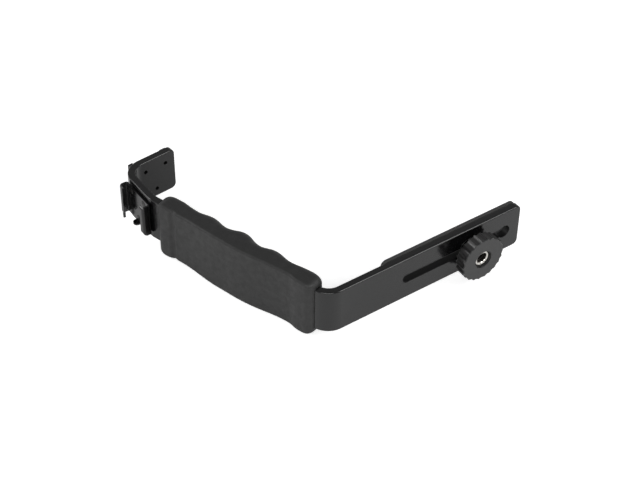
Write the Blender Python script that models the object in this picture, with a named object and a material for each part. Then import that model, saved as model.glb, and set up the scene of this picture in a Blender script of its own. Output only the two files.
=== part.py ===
# Camera flash bracket: a bent flat bar with a padded camera arm, a moulded hand grip,
# two riveted accessory shoes and a captive thumb screw that slides along the arm.
# Metres, +Z up. The bar lies on its long edge, the camera arm runs along +X, and the
# origin is on the face of the camera pad, on the arm's centre line.

import math

import bmesh
import bpy
from mathutils import Matrix, Vector

for old_object in list(bpy.data.objects):
    bpy.data.objects.remove(old_object, do_unlink=True)

# Flat bar, measured along its outer face from the sharp corner of arm and handle
BAR_WIDTH = 0.0250
BAR_THICKNESS = 0.0040
BAR_EDGE_ROUND = 0.0008
BAR_END_ROUND = 0.0030
BEND_INNER_RADIUS = 0.0070
ARM_LENGTH = 0.1160
HANDLE_LENGTH = 0.1115
SHOE_RUN_LENGTH = 0.0282
TOP_ARM_LENGTH = 0.0304
HANDLE_LEAN = math.radians(16.8)
TOP_ARM_LEAN = math.radians(4.5)

# Camera pad and the keyhole slot it shares with the arm
PAD_START = 0.0334
PAD_END_MARGIN = 0.0005
PAD_HEIGHT = 0.0020
PAD_CORNER_ROUND = 0.0030
SLOT_START = 0.0438
SLOT_WIDTH = 0.0050
KEYHOLE_FROM_END = 0.0100
KEYHOLE_DIAMETER = 0.0070
PAD_SLOT_MARGIN = 0.0006

# Moulded hand grip
GRIP_START = 0.0076
GRIP_END_MARGIN = 0.0071
GRIP_OVERHANG = 0.0048
GRIP_PALM_PINCH = 0.0018
GRIP_PALM_ROUND = 0.0022
GRIP_FINGER_ROUND = 0.0050
GRIP_RIM_ROUND = 0.0030
GRIP_PALM_SWELL = 0.0055
GRIP_FINGER_SWELL = 0.0050

# Accessory shoe, folded from sheet and held by three flush rivets
SHEET_THICKNESS = 0.0009
SHEET_BEND_RADIUS = 0.0004
SIDE_SHOE_MARGIN = 0.0031
SIDE_SHOE_STOP_MARGIN = 0.0034
TOP_SHOE_MARGIN = 0.0039
SHOE_FROM_CORNER = 0.0184
CHANNEL_WIDTH = 0.0210
CHANNEL_DEPTH = 0.0030
LIP_OPENING = 0.0168
RAIL_FOOT_ROUND = 0.0025
RAIL_ENTRY_ROUND = 0.0018
STOP_WIDTH = 0.0040
STOP_HEIGHT = 0.0045
HOOK_HEIGHT = 0.0032
HOOK_WIDTH = 0.0011
HOOK_LENGTH = 0.0034
RIVET_DIAMETER = 0.0020
RIVET_HEAD_DIAMETER = 0.0036
RIVET_RECESS = 0.0016
RIVET_SPACING = 0.0121
RIVET_PAIR_MARGIN = 0.0025
RIVET_SINGLE_MARGIN = 0.0024

# Thumb screw: scalloped knob on a metal screw, with a washer between knob and bar
KNOB_FROM_ARM_END = 0.0311
KNOB_DIAMETER = 0.0245
KNOB_FACE_DIAMETER = 0.0249
KNOB_THICKNESS = 0.0066
KNOB_FLUTE_DEPTH = 0.0009
KNOB_FACE_FLUTE_DEPTH = 0.0006
KNOB_EDGE_ROUND = 0.0005
KNOB_FLUTES = 22
HUB_DIAMETER = 0.0130
HUB_LENGTH = 0.0024
RECESS_DIAMETER = 0.0098
RECESS_DEPTH = 0.0011
HEAD_DIAMETER = 0.0088
HEAD_CHAMFER = 0.0004
THREAD_DIAMETER = 0.00635
THREAD_DEPTH = 0.00055
TAPPED_DEPTH = 0.0065
NECK_DIAMETER = 0.0046
NECK_PLAY = 0.0020
STUD_PROTRUSION = 0.0050
STUD_CHAMFER = 0.0006
WASHER_DIAMETER = 0.0120
WASHER_THICKNESS = 0.0007

# Gap between neighbours, spare length of every cut, how far joined shapes overlap, and how
# near two points have to be to count as one
GAP = 0.0003
OVERRUN = 0.0020
WELD_OVERLAP = 0.0002
MERGE_DISTANCE = 0.000003

# Edges turned by more than these angles are drawn sharp, and are rounded on the bar
SHARP_ANGLE = math.radians(35)
ROUNDED_ANGLE = math.radians(50)

# How finely curves are divided
BEND_STEPS = 12
LEAST_BEND_STEPS = 3
ROUND_STEPS = 5
EDGE_STEPS = 2
SLOT_STEPS = 12
FOLD_STEPS = 4
TIP_STEPS = 10
RIVET_STEPS = 16
SCREW_STEPS = 32
STEPS_PER_FLUTE = 6
GRIP_STATIONS = 44
GRIP_RIM_STATIONS = 4
GRIP_CORNER_STEPS = 5

# Worked out from the sizes above
BEND_OUTER_RADIUS = BEND_INNER_RADIUS + BAR_THICKNESS
BAR_MIDDLE = BAR_WIDTH / 2
PAD_FACE = BAR_THICKNESS + PAD_HEIGHT
GRIP_LENGTH = HANDLE_LENGTH - GRIP_START - GRIP_END_MARGIN
SHOE_LENGTH = BAR_WIDTH - SIDE_SHOE_MARGIN - SIDE_SHOE_STOP_MARGIN
SEAT_ALONG_ARM = (PAD_START + SLOT_START) / 2
KEYHOLE_AT = ARM_LENGTH - KEYHOLE_FROM_END
SCREW_AT = ARM_LENGTH - KNOB_FROM_ARM_END


# Materials
def make_material(name, colour, roughness, metallic):
    """Return a Principled material of one colour."""
    material = bpy.data.materials.new(name)
    material.use_nodes = True
    shader = material.node_tree.nodes["Principled BSDF"]
    shader.inputs["Base Color"].default_value = (*colour, 1.0)
    shader.inputs["Roughness"].default_value = roughness
    shader.inputs["Metallic"].default_value = metallic
    material.diffuse_color = (*colour, 1.0)
    return material


BLACK_ENAMEL = make_material("black_enamel", (0.012, 0.012, 0.013), 0.32, 0.0)
BLACK_RUBBER = make_material("black_rubber", (0.022, 0.022, 0.022), 0.75, 0.0)
GRIP_RUBBER = make_material("moulded_grip_rubber", (0.030, 0.030, 0.031), 0.62, 0.0)
KNOB_PLASTIC = make_material("black_knob_plastic", (0.026, 0.026, 0.027), 0.48, 0.0)
NICKEL = make_material("nickel_plated_steel", (0.62, 0.60, 0.57), 0.25, 1.0)
RIVET_STEEL = make_material("blackened_rivet_steel", (0.020, 0.020, 0.021), 0.40, 0.6)


# Frames: the bar's own frame, then one for each straight run that carries other pieces
def make_frame(name, location, rotation, parent):
    """Return an empty at a place, turned by a rotation matrix, under a parent."""
    frame = bpy.data.objects.new(name, None)
    frame.location = location
    frame.rotation_euler = rotation.to_euler()
    frame.parent = parent
    bpy.context.collection.objects.link(frame)
    return frame


def frame_matrix(across, along, outward):
    """Return the rotation whose X, Y and Z axes are the three given directions."""
    return Matrix((across, along, outward)).transposed()


def heading(turn):
    """Return the direction in the bar's plan that is turned from +Y towards -X."""
    return Vector((-math.sin(turn), math.cos(turn), 0))


HANDLE_HEADING = heading(HANDLE_LEAN)
SHOE_RUN_HEADING = heading(0)
TOP_ARM_HEADING = heading(TOP_ARM_LEAN - math.pi / 2)
UP = Vector((0, 0, 1))

CORNER = Vector((0, 0, 0))
ARM_END = Vector((ARM_LENGTH, 0, 0))
KINK = CORNER + HANDLE_HEADING * HANDLE_LENGTH
TOP_CORNER = KINK + SHOE_RUN_HEADING * SHOE_RUN_LENGTH
TOP_END = TOP_CORNER + TOP_ARM_HEADING * TOP_ARM_LENGTH

bar_frame = make_frame(
    "bar_frame", (-SEAT_ALONG_ARM, -PAD_FACE, -BAR_MIDDLE), Matrix.Identity(3), None)
handle_frame = make_frame(
    "handle_frame", CORNER, Matrix.Rotation(HANDLE_LEAN, 3, "Z"), bar_frame)


# Shared modelling helpers
def link_mesh(name, mesh_data, material, parent, location=(0, 0, 0)):
    """Turn a finished bmesh into a named, smooth-shaded object under a parent."""
    bmesh.ops.recalc_face_normals(mesh_data, faces=mesh_data.faces[:])
    mesh = bpy.data.meshes.new(name)
    mesh_data.to_mesh(mesh)
    mesh_data.free()
    mesh.materials.append(material)
    mesh.shade_smooth()
    mesh.set_sharp_from_angle(angle=SHARP_ANGLE)
    thing = bpy.data.objects.new(name, mesh)
    thing.parent = parent
    thing.location = location
    bpy.context.collection.objects.link(thing)
    return thing


def extruded(outline, start, end):
    """Return a bmesh of an outline of XY points, extruded along Z from start to end."""
    solid = bmesh.new()
    base = solid.faces.new([solid.verts.new((x, y, start)) for x, y in outline])
    grown = bmesh.ops.extrude_face_region(solid, geom=[base])
    lifted = [item for item in grown["geom"] if isinstance(item, bmesh.types.BMVert)]
    bmesh.ops.translate(solid, verts=lifted, vec=(0, 0, end - start))
    bmesh.ops.recalc_face_normals(solid, faces=solid.faces[:])
    return solid


def stand_up(solid):
    """Turn a bmesh drawn in XY so that its second axis points up and its depth runs along +Y."""
    turn = frame_matrix(Vector((1, 0, 0)), Vector((0, 0, 1)), Vector((0, 1, 0)))
    bmesh.ops.transform(solid, matrix=turn.to_4x4(), verts=solid.verts[:])
    bmesh.ops.reverse_faces(solid, faces=solid.faces[:])
    return solid


def turned(profile, steps):
    """Return a closed bmesh turned about Z from (radius, height) points, both ends on the axis."""
    solid = bmesh.new()
    points = [solid.verts.new((radius, 0, height)) for radius, height in profile]
    edges = [solid.edges.new(pair) for pair in zip(points, points[1:])]
    bmesh.ops.spin(
        solid, geom=points + edges, cent=(0, 0, 0), axis=(0, 0, 1),
        angle=math.tau, steps=steps, use_merge=True)
    bmesh.ops.remove_doubles(solid, verts=solid.verts[:], dist=MERGE_DISTANCE)
    bmesh.ops.recalc_face_normals(solid, faces=solid.faces[:])
    return solid


def skinned(rings):
    """Return a closed bmesh drawn over rings of points, with a flat face at each end."""
    solid = bmesh.new()
    loops = []
    for points in rings:
        ring = [solid.verts.new(point) for point in points]
        loops.append([solid.edges.new(pair) for pair in zip(ring, ring[1:] + ring[:1])])
    for loop, next_loop in zip(loops, loops[1:]):
        bmesh.ops.bridge_loops(solid, edges=loop + next_loop)
    bmesh.ops.holes_fill(solid, edges=loops[0] + loops[-1], sides=0)
    return solid


def arc(centre, radius, start, end, steps):
    """Return points on an arc from one angle to another, both ends included."""
    angles = [start + (end - start) * step / steps for step in range(steps + 1)]
    return [(centre[0] + radius * math.cos(a), centre[1] + radius * math.sin(a)) for a in angles]


def rounded_rectangle(low_x, high_x, low_y, high_y, low_radius, high_radius, steps):
    """Return the outline of a rectangle, with one corner radius at low X and one at high X."""
    quarter = math.pi / 2
    corners = (
        (high_x - high_radius, low_y + high_radius, high_radius, -quarter),
        (high_x - high_radius, high_y - high_radius, high_radius, 0),
        (low_x + low_radius, high_y - low_radius, low_radius, quarter),
        (low_x + low_radius, low_y + low_radius, low_radius, math.pi),
    )
    outline = []
    for x, y, radius, start in corners:
        outline += arc((x, y), radius, start, start + quarter, steps)
    return outline


def cut(thing, cutter_mesh, name, parent, location=(0, 0, 0)):
    """Cut a shape out of an object with a hidden cutter."""
    cutter = link_mesh(name, cutter_mesh, BLACK_ENAMEL, parent, location)
    cutter.hide_render = True
    cutter.display_type = "WIRE"
    modifier = thing.modifiers.new(name, "BOOLEAN")
    modifier.operation = "DIFFERENCE"
    modifier.object = cutter
    return cutter


def weld(thing, added_mesh, name, parent):
    """Join a shape onto an object with a hidden union shape."""
    added = cut(thing, added_mesh, name, parent)
    thing.modifiers[name].operation = "UNION"
    return added


# Bent flat bar: one strip, outlined in plan, with rounded edges and ends
def bar_outline():
    """Return the bar's plan outline, along the outer face and back along the inner face."""
    runs = (Vector((-1, 0, 0)), HANDLE_HEADING, SHOE_RUN_HEADING, TOP_ARM_HEADING)
    corners = (CORNER, KINK, TOP_CORNER)
    outer = [(ARM_END.x, ARM_END.y)]
    inner_normal = Vector((0, 1, 0))
    inner = [(ARM_END.x, ARM_END.y + BAR_THICKNESS)]
    for corner, run_in, run_out in zip(corners, runs, runs[1:]):
        turn = run_in.angle(run_out)
        tangent = BEND_OUTER_RADIUS * math.tan(turn / 2)
        inner_normal = Vector((run_in.y, -run_in.x, 0))
        centre = corner - run_in * tangent + inner_normal * BEND_OUTER_RADIUS
        start = math.atan2(-inner_normal.y, -inner_normal.x)
        steps = max(LEAST_BEND_STEPS, round(BEND_STEPS * turn / (math.pi / 2)))
        outer += arc(centre, BEND_OUTER_RADIUS, start, start - turn, steps)
        inner += arc(centre, BEND_INNER_RADIUS, start, start - turn, steps)
    last_normal = Vector((TOP_ARM_HEADING.y, -TOP_ARM_HEADING.x, 0))
    inner_end = TOP_END + last_normal * BAR_THICKNESS
    outer.append((TOP_END.x, TOP_END.y))
    inner.append((inner_end.x, inner_end.y))
    return outer + inner[::-1]


def at_bar_end(edge):
    """Tell whether an edge is one of the four short edges at the two ends of the bar."""
    ends = (ARM_END, TOP_END)
    near = [min((vert.co.xy - end.xy).length for end in ends) for vert in edge.verts]
    flat = abs(edge.verts[0].co.z - edge.verts[1].co.z) < GAP
    return flat and max(near) < BAR_THICKNESS + GAP


bar_mesh = extruded(bar_outline(), 0, BAR_WIDTH)
bmesh.ops.bevel(
    bar_mesh, geom=[edge for edge in bar_mesh.edges if at_bar_end(edge)], affect="EDGES",
    offset=BAR_END_ROUND, segments=ROUND_STEPS, profile=0.5, material=-1)
bracket_bar = link_mesh("bracket_bar", bar_mesh, BLACK_ENAMEL, bar_frame)
edge_round = bracket_bar.modifiers.new("edge_round", "BEVEL")
edge_round.width = BAR_EDGE_ROUND
edge_round.segments = EDGE_STEPS
edge_round.limit_method = "ANGLE"
edge_round.angle_limit = ROUNDED_ANGLE


def keyhole_cutter(width, hole_diameter, low, high):
    """Return a bmesh of the keyhole slot through the arm, from one depth to the other."""
    slot_radius = width / 2
    hole_radius = hole_diameter / 2
    meet = math.asin(slot_radius / hole_radius)
    outline = arc((KEYHOLE_AT, BAR_MIDDLE), hole_radius, meet - math.pi, math.pi - meet,
                  2 * SLOT_STEPS)
    round_end = SLOT_START + SLOT_WIDTH / 2
    outline += arc((round_end, BAR_MIDDLE), slot_radius, math.pi / 2, math.pi * 3 / 2,
                   SLOT_STEPS)
    return stand_up(extruded(outline, low, high))


cut(bracket_bar, keyhole_cutter(SLOT_WIDTH, KEYHOLE_DIAMETER, -OVERRUN, BAR_THICKNESS + OVERRUN),
    "arm_slot_cutter", bar_frame)

# Camera pad: a rubber strip along the arm's inner face, with a wider slot of its own
pad_outline = rounded_rectangle(
    PAD_START, ARM_LENGTH - PAD_END_MARGIN, 0, BAR_WIDTH, PAD_CORNER_ROUND, PAD_CORNER_ROUND,
    ROUND_STEPS)
pad_mesh = stand_up(extruded(pad_outline, BAR_THICKNESS + GAP, PAD_FACE))
camera_pad = link_mesh("camera_pad", pad_mesh, BLACK_RUBBER, bar_frame)
pad_slot_width = THREAD_DIAMETER + 2 * PAD_SLOT_MARGIN
pad_hole_diameter = KEYHOLE_DIAMETER + 2 * PAD_SLOT_MARGIN
cut(camera_pad, keyhole_cutter(pad_slot_width, pad_hole_diameter, 0, PAD_FACE + OVERRUN),
    "pad_slot_cutter", bar_frame)

# Hand grip: a soft sleeve moulded on the handle, with a swollen palm side and four finger
# grooves. Each pair is a place along the grip and a height above the bar, both as shares.
# The palm side is also pinched narrower behind each end's bead.
PALM_SHARES = (
    (0.00, 0.55), (0.05, 0.61), (0.14, 0.43), (0.47, 0.86), (0.57, 0.83), (0.885, 0.50),
    (0.945, 0.64), (1.00, 0.58))
FINGER_SHARES = (
    (0.00, 0.68), (0.07, 0.73), (0.19, 0.41), (0.298, 0.86), (0.38, 0.41), (0.497, 1.00),
    (0.60, 0.41), (0.697, 0.78), (0.785, 0.41), (0.92, 0.65), (1.00, 0.60))
PINCH_SHARES = (
    (0.00, 0.00), (0.05, 0.20), (0.18, 0.60), (0.35, 0.35), (0.60, 0.40), (0.85, 1.00),
    (0.96, 0.50), (1.00, 0.60))
CORNER_ROOM_SHARE = 0.42


def eased(shares, place):
    """Read a table of (place, height) shares, with a soft wave from each point to the next."""
    for (low, low_height), (high, high_height) in zip(shares, shares[1:]):
        if place <= high:
            ease = (1 - math.cos(math.pi * (place - low) / (high - low))) / 2
            return low_height + (high_height - low_height) * ease
    return shares[-1][1]


def grip_section(along, inset):
    """Return the grip's cross section as points, drawn in from its full size by the inset."""
    place = along / GRIP_LENGTH
    low = -GRIP_PALM_SWELL * eased(PALM_SHARES, place) + inset
    high = BAR_THICKNESS + GRIP_FINGER_SWELL * eased(FINGER_SHARES, place) - inset
    half = BAR_MIDDLE + GRIP_OVERHANG - inset
    room = (high - low) * CORNER_ROOM_SHARE
    outline = rounded_rectangle(
        low, high, -half, half, min(GRIP_PALM_ROUND, room), min(GRIP_FINGER_ROUND, room),
        GRIP_CORNER_STEPS)
    pinch = GRIP_PALM_PINCH * eased(PINCH_SHARES, place) / half
    section = []
    for x, z in outline:
        narrowed = 1 - pinch * (high - x) / (high - low)
        section.append((x, GRIP_START + along, BAR_MIDDLE + z * narrowed))
    return section


def grip_stations():
    """Return (place, inset) pairs: a rounded rim at each end and even steps between."""
    quarter = [math.pi / 2 * step / GRIP_RIM_STATIONS for step in range(GRIP_RIM_STATIONS + 1)]
    rim = [(GRIP_RIM_ROUND * (1 - math.cos(a)), GRIP_RIM_ROUND * (1 - math.sin(a))) for a in quarter]
    body = GRIP_LENGTH - 2 * GRIP_RIM_ROUND
    steps = [GRIP_RIM_ROUND + body * step / GRIP_STATIONS for step in range(1, GRIP_STATIONS)]
    return rim + [(step, 0) for step in steps] + [(GRIP_LENGTH - a, b) for a, b in reversed(rim)]


grip_mesh = skinned([grip_section(along, inset) for along, inset in grip_stations()])
hand_grip = link_mesh("hand_grip", grip_mesh, GRIP_RUBBER, handle_frame)

bore_outline = rounded_rectangle(
    -GAP, BAR_THICKNESS + GAP, -GAP, BAR_WIDTH + GAP, BAR_EDGE_ROUND, BAR_EDGE_ROUND, EDGE_STEPS)
bore_end = GRIP_START + GRIP_LENGTH + OVERRUN
bore_mesh = stand_up(extruded(bore_outline, GRIP_START - OVERRUN, bore_end))
cut(hand_grip, bore_mesh, "grip_bore_cutter", handle_frame)


# Accessory shoes. A shoe's own frame has X across the channel, Y along the rails towards
# the open end, and Z out of the bar, with its origin on the bar's face under the base.
SHOE_BASE_TOP = GAP + SHEET_THICKNESS
SHOE_TOP = SHOE_BASE_TOP + CHANNEL_DEPTH + SHEET_THICKNESS
SHOE_HALF = SHOE_LENGTH / 2
RAIL_INSIDE = CHANNEL_WIDTH / 2
RAIL_OUTSIDE = RAIL_INSIDE + SHEET_THICKNESS
LIP_AT = LIP_OPENING / 2


def shoe_profile():
    """Return the folded sheet's cross section: base, two upright rails and their narrow lips."""
    quarter = math.pi / 2
    outer_radius = SHEET_BEND_RADIUS + SHEET_THICKNESS
    fold = RAIL_INSIDE - SHEET_BEND_RADIUS
    low_fold = (fold, SHOE_BASE_TOP + SHEET_BEND_RADIUS)
    high_fold = (fold, SHOE_TOP - outer_radius)
    half = arc(low_fold, outer_radius, -quarter, 0, FOLD_STEPS)
    half += arc(high_fold, outer_radius, 0, quarter, FOLD_STEPS)
    half += [(LIP_AT, SHOE_TOP), (LIP_AT, SHOE_TOP - SHEET_THICKNESS)]
    half += arc(high_fold, SHEET_BEND_RADIUS, quarter, 0, FOLD_STEPS)
    half += arc(low_fold, SHEET_BEND_RADIUS, 0, -quarter, FOLD_STEPS)
    return half + [(-x, y) for x, y in reversed(half)]


def rail_corner_cutter(side, radius):
    """Return a bmesh, right across the shoe, of what a rounded corner takes off the rails' ends."""
    low, end = SHOE_TOP - radius, SHOE_HALF - radius
    past_top, past_end = SHOE_TOP + OVERRUN, SHOE_HALF + OVERRUN
    corner = arc((low, end), radius, 0, math.pi / 2, ROUND_STEPS)
    corner += [(low, past_end), (past_top, past_end), (past_top, end)]
    outline = [(height, side * along) for height, along in corner]
    solid = extruded(outline, -RAIL_OUTSIDE - OVERRUN, RAIL_OUTSIDE + OVERRUN)
    turn = frame_matrix(Vector((0, 0, 1)), Vector((0, 1, 0)), Vector((-1, 0, 0)))
    bmesh.ops.transform(solid, matrix=turn.to_4x4(), verts=solid.verts[:])
    return solid


def rivet_places():
    """Return the three rivets' places on a shoe: a pair by the open end and one by the stop."""
    pair = SHOE_HALF - RIVET_PAIR_MARGIN
    single = RIVET_SINGLE_MARGIN - SHOE_HALF
    return ((-RIVET_SPACING / 2, pair), (RIVET_SPACING / 2, pair), (0, single))


def make_shoe(name, frame):
    """Model one shoe and its rivets, and drill the bar under them."""
    shoe = link_mesh(name, stand_up(extruded(shoe_profile(), -SHOE_HALF, SHOE_HALF)),
                     BLACK_ENAMEL, frame)
    cut(shoe, rail_corner_cutter(-1, RAIL_FOOT_ROUND), f"{name}_foot_round", frame)
    cut(shoe, rail_corner_cutter(1, RAIL_ENTRY_ROUND), f"{name}_entry_round", frame)

    # Stop: a round-tipped tongue bent up from the base's edge
    tip = STOP_HEIGHT - STOP_WIDTH / 2
    stop_low = SHOE_BASE_TOP - WELD_OVERLAP
    tongue = [(-STOP_WIDTH / 2, stop_low), (STOP_WIDTH / 2, stop_low)]
    tongue += arc((0, tip), STOP_WIDTH / 2, 0, math.pi, TIP_STEPS)
    weld(shoe, stand_up(extruded(tongue, -SHOE_HALF, SHEET_THICKNESS - SHOE_HALF)),
         f"{name}_stop", frame)

    # Hook: a narrow tab that stands out of one rail's rounded corner, past the stop
    hook_top = HOOK_HEIGHT + HOOK_WIDTH
    hook = [(-RAIL_OUTSIDE, HOOK_HEIGHT), (-RAIL_INSIDE, HOOK_HEIGHT),
            (-RAIL_INSIDE, hook_top), (-RAIL_OUTSIDE, hook_top)]
    hook_mesh = extruded(hook, -SHOE_HALF - HOOK_LENGTH, RAIL_FOOT_ROUND - SHOE_HALF)
    weld(shoe, stand_up(hook_mesh), f"{name}_hook", frame)

    # Rivets: flush in the base, with a shank that ends some way inside the bar
    shank, head = RIVET_DIAMETER / 2, RIVET_HEAD_DIAMETER / 2
    foot = RIVET_RECESS - BAR_THICKNESS
    head_base = SHOE_BASE_TOP - (head - shank)
    rivet_profile = (
        (0, foot), (shank, foot), (shank, head_base), (head, SHOE_BASE_TOP), (0, SHOE_BASE_TOP))
    hole_start = -BAR_THICKNESS - OVERRUN
    hole_profile = (
        (0, hole_start), (shank + GAP, hole_start), (shank + GAP, head_base),
        (head + GAP, SHOE_BASE_TOP), (head + GAP, SHOE_BASE_TOP + GAP), (0, SHOE_BASE_TOP + GAP))
    for number, (x, y) in enumerate(rivet_places(), start=1):
        place = (x, y, 0)
        rivet_mesh = turned(rivet_profile, RIVET_STEPS)
        link_mesh(f"{name}_rivet_{number}", rivet_mesh, RIVET_STEEL, frame, place)
        for drilled in (shoe, bracket_bar):
            hole_mesh = turned(hole_profile, RIVET_STEPS)
            cut(drilled, hole_mesh, f"{name}_hole_{number}_in_{drilled.name}", frame, place)


# Both shoes are open upwards, with their stops below
side_outward = Vector((-SHOE_RUN_HEADING.y, SHOE_RUN_HEADING.x, 0))
side_place = TOP_CORNER - SHOE_RUN_HEADING * SHOE_FROM_CORNER
side_place.z = BAR_WIDTH - SIDE_SHOE_MARGIN - SHOE_HALF
side_shoe_frame = make_frame(
    "side_shoe_frame", side_place, frame_matrix(-SHOE_RUN_HEADING, UP, side_outward), bar_frame)
make_shoe("side_shoe", side_shoe_frame)

top_outward = Vector((-TOP_ARM_HEADING.y, TOP_ARM_HEADING.x, 0))
top_place = TOP_CORNER + TOP_ARM_HEADING * SHOE_FROM_CORNER
top_place.z = BAR_WIDTH - TOP_SHOE_MARGIN - SHOE_HALF
top_shoe_frame = make_frame(
    "top_shoe_frame", top_place, frame_matrix(-TOP_ARM_HEADING, UP, top_outward), bar_frame)
make_shoe("top_shoe", top_shoe_frame)

# Thumb screw. Its frame is on the screw's axis in the plane of the bar's outer face, with
# Z pointing out of the bar towards the hand.
screw_frame = make_frame(
    "screw_frame", (SCREW_AT, 0, BAR_MIDDLE),
    frame_matrix(Vector((1, 0, 0)), UP, Vector((0, -1, 0))), bar_frame)
WASHER_TOP = GAP + WASHER_THICKNESS
HUB_BASE = WASHER_TOP + GAP
KNOB_BASE = HUB_BASE + HUB_LENGTH
KNOB_FACE = KNOB_BASE + KNOB_THICKNESS
HEAD_FACE = KNOB_FACE - RECESS_DEPTH
HEAD_RADIUS = HEAD_DIAMETER / 2
THREAD_RADIUS = THREAD_DIAMETER / 2
NECK_RADIUS = NECK_DIAMETER / 2

# Slide washer: a thin ring on the screw's neck
washer_outline = (
    (NECK_RADIUS + GAP, GAP), (WASHER_DIAMETER / 2, GAP), (WASHER_DIAMETER / 2, WASHER_TOP),
    (NECK_RADIUS + GAP, WASHER_TOP), (NECK_RADIUS + GAP, GAP))
link_mesh("slide_washer", turned(washer_outline, SCREW_STEPS), NICKEL, screw_frame)


# Thumb knob: a fluted disc with a hub behind it and a stepped bore for the metal screw
def flute_ring(diameter, depth, height):
    """Return one ring round the knob: shallow hollows with a ridge between each pair."""
    points = []
    count = KNOB_FLUTES * STEPS_PER_FLUTE
    for step in range(count):
        turn = math.tau * step / count
        radius = diameter / 2 - depth * abs(math.sin(KNOB_FLUTES * turn / 2))
        points.append((radius * math.cos(turn), radius * math.sin(turn), height))
    return points


knob_mesh = skinned([
    flute_ring(KNOB_DIAMETER, KNOB_FLUTE_DEPTH, KNOB_BASE),
    flute_ring(KNOB_FACE_DIAMETER, KNOB_FACE_FLUTE_DEPTH, KNOB_FACE)])
rim_edges = [
    edge for edge in knob_mesh.edges if abs(edge.verts[0].co.z - edge.verts[1].co.z) < GAP]
bmesh.ops.bevel(
    knob_mesh, geom=rim_edges, affect="EDGES", offset=KNOB_EDGE_ROUND, segments=EDGE_STEPS,
    profile=0.5, material=-1)
thumb_knob = link_mesh("thumb_knob", knob_mesh, KNOB_PLASTIC, screw_frame)
hub_profile = (
    (0, HUB_BASE), (HUB_DIAMETER / 2, HUB_BASE), (HUB_DIAMETER / 2, KNOB_BASE + WELD_OVERLAP),
    (0, KNOB_BASE + WELD_OVERLAP))
weld(thumb_knob, turned(hub_profile, SCREW_STEPS), "knob_hub", screw_frame)
bore_profile = (
    (0, HUB_BASE - OVERRUN), (HEAD_RADIUS + GAP, HUB_BASE - OVERRUN), (HEAD_RADIUS + GAP, HEAD_FACE),
    (RECESS_DIAMETER / 2, HEAD_FACE), (RECESS_DIAMETER / 2, KNOB_FACE + OVERRUN),
    (0, KNOB_FACE + OVERRUN))
cut(thumb_knob, turned(bore_profile, SCREW_STEPS), "knob_bore_cutter", screw_frame)

# Camera screw: a turned head with a tapped hole in its face, a neck that runs in the
# slot, and a threaded stud that stands out past the pad
NECK_END = -(BAR_THICKNESS + NECK_PLAY + GAP)
STUD_END = -(PAD_FACE + STUD_PROTRUSION)
TAPPED_RADIUS = THREAD_RADIUS - THREAD_DEPTH
TAPPED_FLOOR = HEAD_FACE - TAPPED_DEPTH
screw_profile = (
    (0, STUD_END),
    (THREAD_RADIUS - STUD_CHAMFER, STUD_END),
    (THREAD_RADIUS, STUD_END + STUD_CHAMFER),
    (THREAD_RADIUS, NECK_END),
    (NECK_RADIUS, NECK_END),
    (NECK_RADIUS, HUB_BASE),
    (HEAD_RADIUS, HUB_BASE),
    (HEAD_RADIUS, HEAD_FACE - HEAD_CHAMFER),
    (HEAD_RADIUS - HEAD_CHAMFER, HEAD_FACE),
    (THREAD_RADIUS, HEAD_FACE),
    (TAPPED_RADIUS, HEAD_FACE - THREAD_DEPTH),
    (TAPPED_RADIUS, TAPPED_FLOOR),
    (0, TAPPED_FLOOR),
)
link_mesh("camera_screw", turned(screw_profile, SCREW_STEPS), NICKEL, screw_frame)
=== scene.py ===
# Camera flash bracket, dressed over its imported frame: a bent steel bar with a rubber pad,
# a moulded hand grip, two riveted accessory shoes and a thumb screw in the arm's slot.
import math

import bmesh
import bpy
from mathutils import Euler, Matrix, Vector


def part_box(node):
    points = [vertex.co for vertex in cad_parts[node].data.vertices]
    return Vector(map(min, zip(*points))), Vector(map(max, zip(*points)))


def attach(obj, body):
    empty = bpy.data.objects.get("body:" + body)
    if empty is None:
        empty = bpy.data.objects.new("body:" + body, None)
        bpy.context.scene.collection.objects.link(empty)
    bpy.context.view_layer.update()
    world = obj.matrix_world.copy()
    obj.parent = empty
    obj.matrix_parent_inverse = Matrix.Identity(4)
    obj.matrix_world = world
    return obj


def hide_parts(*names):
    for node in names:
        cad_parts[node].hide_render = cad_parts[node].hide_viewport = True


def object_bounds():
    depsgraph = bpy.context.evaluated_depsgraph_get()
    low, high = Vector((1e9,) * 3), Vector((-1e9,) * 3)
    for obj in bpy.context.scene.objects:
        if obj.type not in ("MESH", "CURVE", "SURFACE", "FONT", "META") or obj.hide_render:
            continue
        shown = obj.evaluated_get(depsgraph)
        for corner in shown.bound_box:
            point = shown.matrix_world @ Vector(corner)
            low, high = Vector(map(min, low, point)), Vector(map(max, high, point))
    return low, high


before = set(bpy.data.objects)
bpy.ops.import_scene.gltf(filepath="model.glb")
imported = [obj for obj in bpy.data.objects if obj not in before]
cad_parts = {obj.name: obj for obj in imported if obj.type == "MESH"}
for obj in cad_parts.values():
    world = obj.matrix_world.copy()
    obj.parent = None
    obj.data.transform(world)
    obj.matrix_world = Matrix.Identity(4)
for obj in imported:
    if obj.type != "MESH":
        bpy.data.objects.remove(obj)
solid_low, solid_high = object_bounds()

# Camera: a long lens, high in front of the bracket's outer corner
LENS = 92.2
CAMERA_PLACE = Vector((-0.3558, -0.4467, 0.5346))
CAMERA_ELEVATION = math.radians(41.869)
CAMERA_AZIMUTH = math.radians(35.338)
CAMERA_ROLL = math.radians(0.687)

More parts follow.
